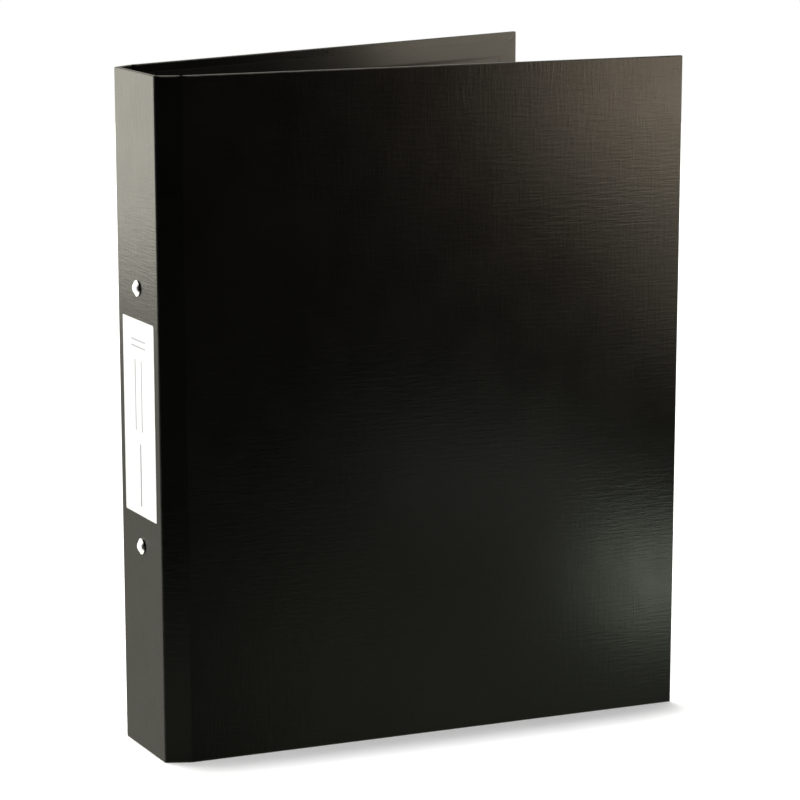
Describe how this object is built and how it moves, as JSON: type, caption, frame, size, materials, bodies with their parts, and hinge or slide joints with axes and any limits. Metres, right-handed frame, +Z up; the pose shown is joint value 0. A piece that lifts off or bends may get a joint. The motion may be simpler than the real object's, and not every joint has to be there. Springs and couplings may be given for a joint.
{
  "type": "ring binder",
  "caption": "A4 ring binder of paper over board with a labelled spine, hinged covers and a riveted ring mechanism that opens, for holding punched sheets.",
  "frame": {"origin": "middle of the spine's bottom edge, halfway through its thickness, on the surface the binder stands on", "axes": "+X from the spine towards the covers' free edges, +Y towards the back cover, -Y towards the front cover, +Z up along the spine"},
  "size_m": [0.2572, 0.1452, 0.315],
  "materials": {
    "outer_paper": "black linen-embossed covering paper, semi-gloss",
    "lining_paper": "smooth black lining paper, satin",
    "grey_board": "grey board, matt",
    "label": "white coated label paper, satin",
    "plated_sheet": "nickel-plated sheet steel",
    "plated_wire": "nickel-plated steel wire, bright",
    "rivet": "nickel-plated tubular rivet, bright"
  },
  "bodies": {
    "spine": {"spine_board": "grey_board", "spine_cover_paper": "outer_paper", "spine_lining": "lining_paper", "spine_label": "label", "front_spine_crease": "outer_paper", "back_spine_crease": "outer_paper", "ring_housing": "plated_sheet", "lower_rivet": "rivet", "upper_rivet": "rivet"},
    "front_hinge_strip": {"front_hinge_board": "grey_board", "front_hinge_paper": "outer_paper", "front_hinge_lining": "lining_paper", "front_board_crease": "outer_paper"},
    "front_cover": {"front_board": "grey_board", "front_cover_paper": "outer_paper", "front_lining": "lining_paper"},
    "back_hinge_strip": {"back_hinge_board": "grey_board", "back_hinge_paper": "outer_paper", "back_hinge_lining": "lining_paper", "back_board_crease": "outer_paper"},
    "back_cover": {"back_board": "grey_board", "back_cover_paper": "outer_paper", "back_lining": "lining_paper"},
    "front_ring_carrier": {"front_blade": "plated_sheet", "lower_front_ring_half": "plated_wire", "upper_front_ring_half": "plated_wire"},
    "back_ring_carrier": {"back_blade": "plated_sheet", "lower_back_ring_half": "plated_wire", "upper_back_ring_half": "plated_wire"}
  },
  "joints": [
    {"name": "front_cover_fold", "type": "hinge", "parent": "spine", "child": "front_hinge_strip", "pos_m": [-0.00105, -0.02225, 0], "axis": [0, 0, -1], "range_deg": [-4.67, 135.33]},
    {"name": "front_board_fold", "type": "hinge", "parent": "front_hinge_strip", "child": "front_cover", "pos_m": [0.00985, -0.02726, 0], "axis": [0, 0, -1], "range_deg": [-1.33, 38.67]},
    {"name": "back_cover_fold", "type": "hinge", "parent": "spine", "child": "back_hinge_strip", "pos_m": [-0.00105, 0.02225, 0], "axis": [0, 0, 1], "range_deg": [-11.67, 128.33]},
    {"name": "back_board_fold", "type": "hinge", "parent": "back_hinge_strip", "child": "back_cover", "pos_m": [0.00916, 0.02855, 0], "axis": [0, 0, 1], "range_deg": [-3.33, 36.67]},
    {"name": "front_rings_open", "type": "hinge", "parent": "spine", "child": "front_ring_carrier", "pos_m": [0.0029, -0.0077, 0], "axis": [0, 0, -1], "range_deg": [0, 18]},
    {"name": "back_rings_open", "type": "hinge", "parent": "spine", "child": "back_ring_carrier", "pos_m": [0.0029, 0.0077, 0], "axis": [0, 0, 1], "range_deg": [0, 18]}
  ],
  "couplings": [
    {"joint": "front_board_fold", "follows": "front_cover_fold", "ratio": 0.28571},
    {"joint": "back_board_fold", "follows": "back_cover_fold", "ratio": 0.28571},
    {"joint": "back_rings_open", "follows": "front_rings_open", "ratio": 1}
  ]
}
